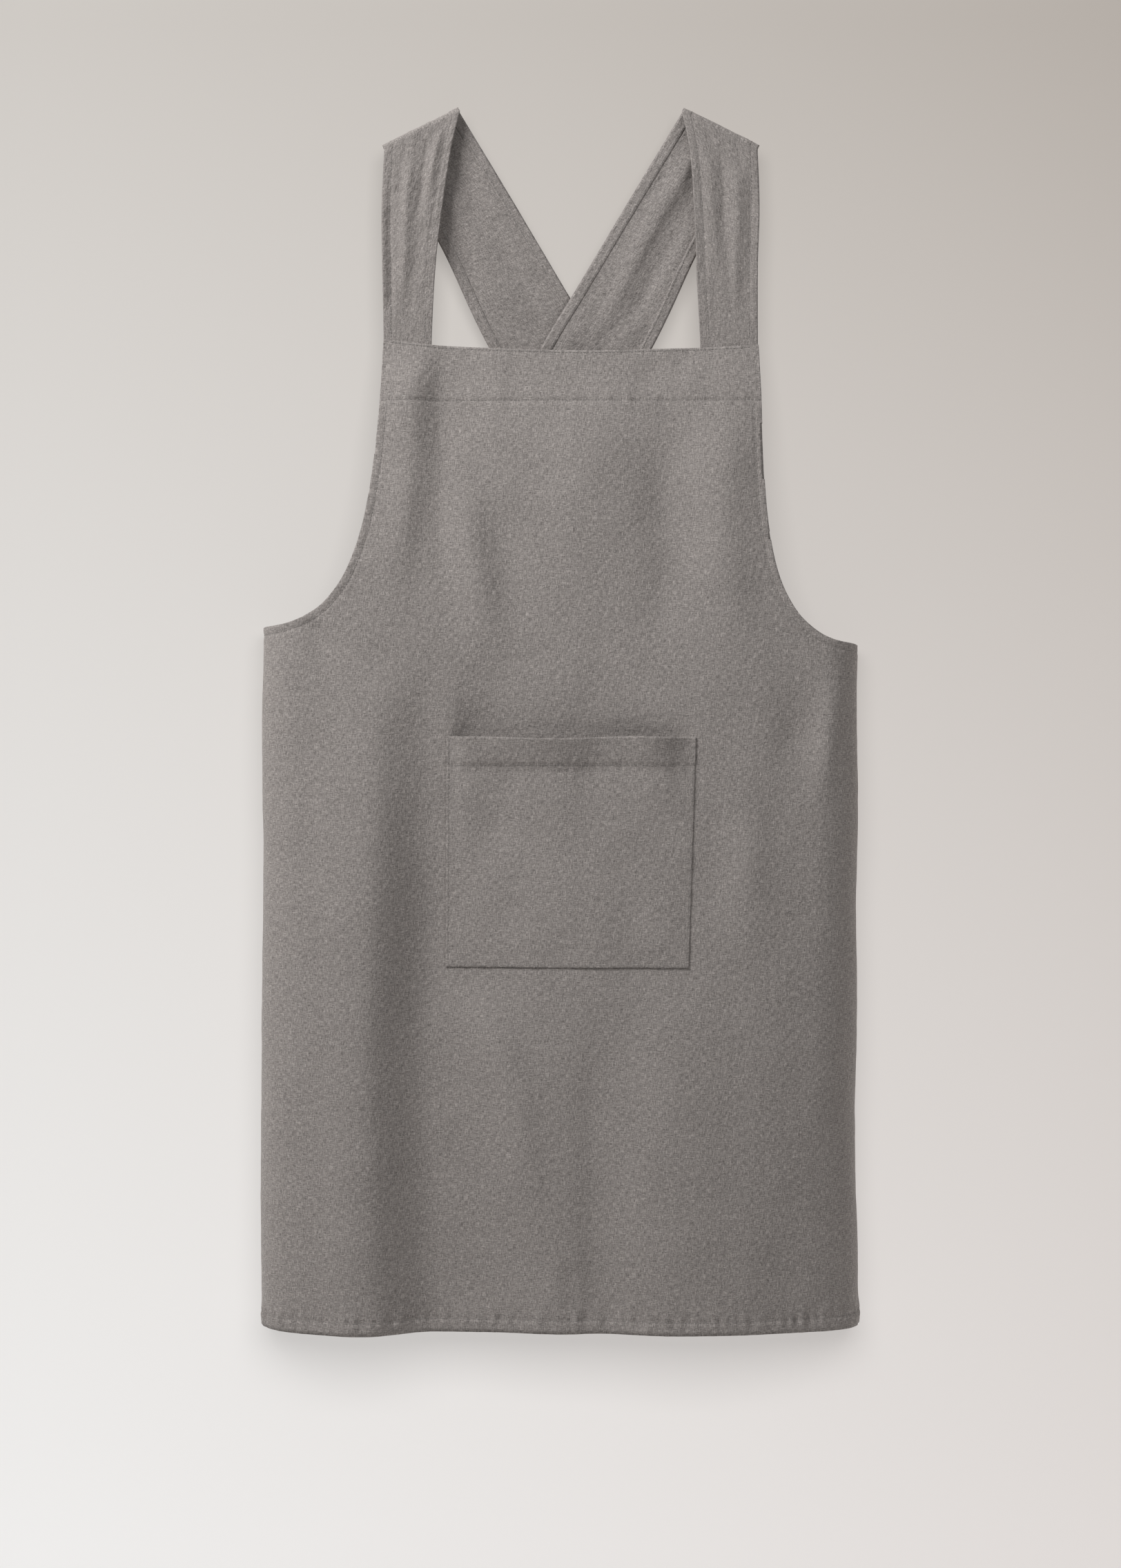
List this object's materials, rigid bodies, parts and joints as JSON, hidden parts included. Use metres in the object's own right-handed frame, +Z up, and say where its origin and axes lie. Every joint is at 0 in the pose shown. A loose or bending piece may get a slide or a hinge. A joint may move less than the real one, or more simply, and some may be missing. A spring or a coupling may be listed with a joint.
{
  "type": "apron on wall hooks",
  "caption": "Linen apron with wide straps that cross at the back, a patch pocket and open back panels, hung by its straps on wall hooks.",
  "frame": {"origin": "midway between the two hook plates, on the wall plane", "axes": "+X to the right seen from the front, +Y into the wall, +Z up"},
  "size_m": [0.5392, 0.0881, 1.0995],
  "materials": {
    "linen": "washed plain-weave linen, warm grey",
    "thread": "matt sewing thread, slightly darker than the cloth",
    "hook_steel": "satin black powder coat"
  },
  "bodies": {
    "hooks": {"left_hook_plate": "hook_steel", "left_hook_rod": "hook_steel", "right_hook_plate": "hook_steel", "right_hook_rod": "hook_steel"},
    "straps": {"left_strap": "linen", "left_strap_hems": "linen", "left_strap_stitching": "thread", "right_strap": "linen", "right_strap_hems": "linen", "right_strap_stitching": "thread"},
    "apron": {"armhole_stitching": "thread", "back_stitching": "thread", "bib_facing": "linen", "bib_stitching": "thread", "front_bottom_hem": "linen", "front_panel": "linen", "hem_stitching": "thread", "left_armhole_hem": "linen", "left_back_bottom_hem": "linen", "left_back_edge_hem": "linen", "left_back_panel": "linen", "left_back_top_hem": "linen", "left_side_seam": "linen", "left_strap_lower": "linen", "left_strap_lower_hems": "linen", "pocket_facing": "linen", "pocket_panel": "linen", "pocket_stitching": "thread", "right_armhole_hem": "linen", "right_back_bottom_hem": "linen", "right_back_edge_hem": "linen", "right_back_panel": "linen", "right_back_top_hem": "linen", "right_side_seam": "linen", "right_strap_lower": "linen", "right_strap_lower_hems": "linen", "strap_end_stitching": "thread"}
  },
  "joints": [
    {"name": "lift_off", "type": "slide", "parent": "hooks", "child": "straps", "axis": [0, 0, 1], "range_m": [0, 0.15]},
    {"name": "swing_out", "type": "hinge", "parent": "straps", "child": "apron", "pos_m": [0, -0.0303, -0.095], "axis": [-1, 0, 0], "range_deg": [0, 25]}
  ]
}
